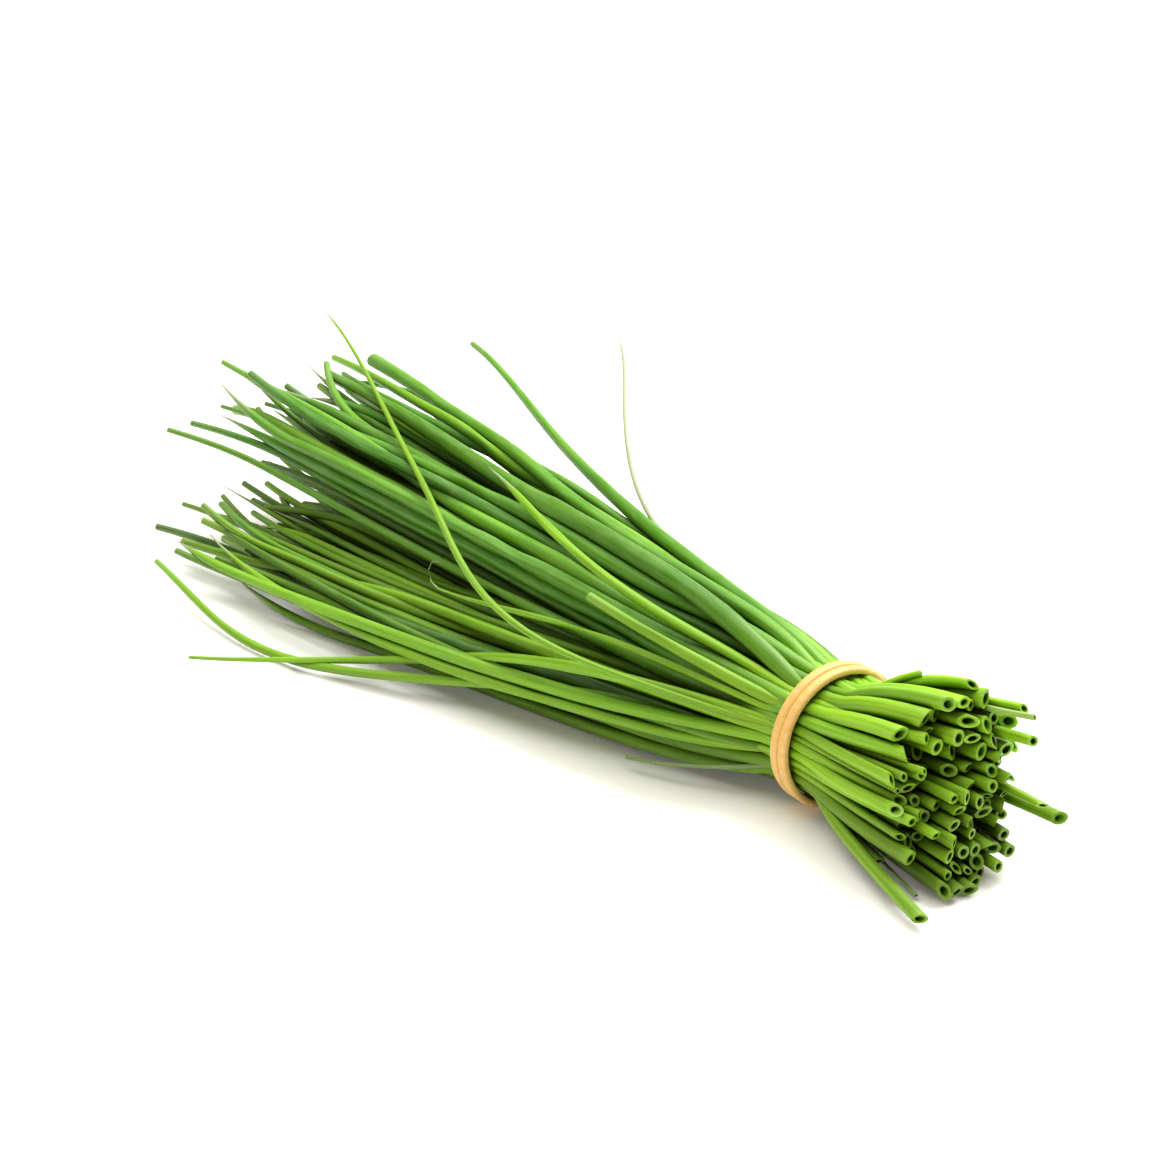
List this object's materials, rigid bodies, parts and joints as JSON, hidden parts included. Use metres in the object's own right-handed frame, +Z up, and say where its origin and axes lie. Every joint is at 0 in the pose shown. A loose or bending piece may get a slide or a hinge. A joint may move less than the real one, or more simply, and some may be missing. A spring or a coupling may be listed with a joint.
{
  "type": "chive bunch",
  "caption": "Bunch of fresh cut chives: long slim hollow green leaves held near their cut ends by a doubled tan rubber band, lying on its side.",
  "frame": {"origin": "middle of the underside of the whole bunch as it lies on a flat surface", "axes": "+X along the leaves towards their cut ends, +Y across the bunch, +Z up from the surface it lies on"},
  "size_m": [0.2564, 0.131, 0.0348],
  "materials": {
    "leaf": "fresh green leaf with a thin wax bloom, stands in for plant tissue",
    "band": "matt tan rubber"
  },
  "bodies": {
    "root": {"chive_leaves": "leaf", "rubber_band": "band"}
  },
  "joints": []
}
